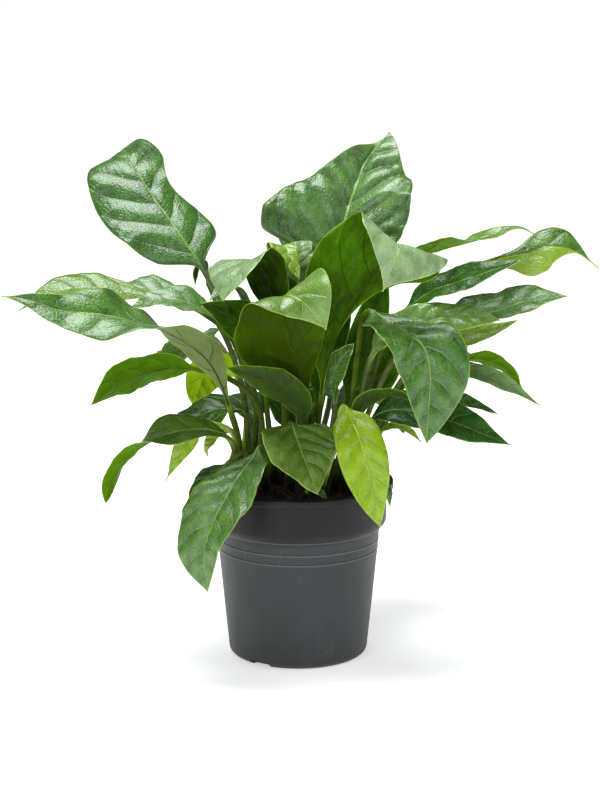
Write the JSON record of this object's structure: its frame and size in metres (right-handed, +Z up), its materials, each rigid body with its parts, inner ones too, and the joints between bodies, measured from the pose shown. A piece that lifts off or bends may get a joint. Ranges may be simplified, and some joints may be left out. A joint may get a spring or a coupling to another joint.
{
  "type": "potted anthurium",
  "caption": "Bushy potted anthurium: long-stalked pointed arching leaves growing from soil in a round tapered plastic nursery pot with a wide rim band.",
  "frame": {"origin": "centre of the pot's flat underside", "axes": "+Z up, +X to the right and -Y to the front, seen from the side the plant faces"},
  "size_m": [0.6357, 0.4298, 0.5677],
  "materials": {
    "pot": "dark grey moulded polypropylene, satin, lightly scuffed",
    "soil": "damp dark peat and bark potting mix, loose and crumbly",
    "leaf_mature": "live leaf, waxy and quilted above, matte and paler beneath",
    "leaf_dark": "live leaf, deep green, glossy and quilted",
    "leaf_young": "young live leaf, yellow-green, thin and softly glossy"
  },
  "bodies": {
    "root": {"pot": "pot", "soil": "soil", "leaf_top_left": "leaf_mature", "leaf_top_right": "leaf_mature", "leaf_left_long": "leaf_mature", "leaf_left_young": "leaf_mature", "leaf_left_hump": "leaf_mature", "leaf_left_upper": "leaf_mature", "leaf_left_olive": "leaf_dark", "leaf_left_bright": "leaf_young", "leaf_left_behind": "leaf_mature", "leaf_left_twist": "leaf_dark", "leaf_left_hanging": "leaf_young", "leaf_left_pale": "leaf_young", "leaf_left_shade": "leaf_dark", "leaf_front_left": "leaf_mature", "leaf_front_gloss": "leaf_dark", "leaf_front_center": "leaf_dark", "leaf_front_young": "leaf_young", "leaf_front_small": "leaf_mature", "leaf_front_tip": "leaf_mature", "leaf_center_fold": "leaf_mature", "leaf_center_olive": "leaf_dark", "leaf_center_drop": "leaf_mature", "leaf_center_left": "leaf_dark", "leaf_center_bright": "leaf_mature", "leaf_center_top": "leaf_mature", "leaf_center_big": "leaf_mature", "leaf_center_small": "leaf_mature", "leaf_right_top": "leaf_mature", "leaf_right_far": "leaf_mature", "leaf_right_inner": "leaf_dark", "leaf_right_mid": "leaf_mature", "leaf_right_under": "leaf_mature", "leaf_right_shoulder": "leaf_mature", "leaf_front_right": "leaf_mature", "leaf_right_low": "leaf_dark", "leaf_right_behind": "leaf_dark", "leaf_right_tip": "leaf_young", "leaf_right_olive": "leaf_dark", "leaf_right_brown": "leaf_dark", "leaf_shade_center": "leaf_dark", "leaf_shade_right": "leaf_dark", "leaf_shade_behind": "leaf_dark", "leaf_wavy_drop": "leaf_mature", "leaf_right_long": "leaf_mature", "leaf_left_bud": "leaf_mature", "leaf_right_shade": "leaf_dark", "leaf_back_mid": "leaf_dark", "leaf_back_high": "leaf_mature", "leaf_back_center": "leaf_mature", "leaf_back_left": "leaf_mature", "leaf_back_right": "leaf_mature", "leaf_back_low_left": "leaf_dark", "leaf_back_low_right": "leaf_dark"}
  },
  "joints": []
}
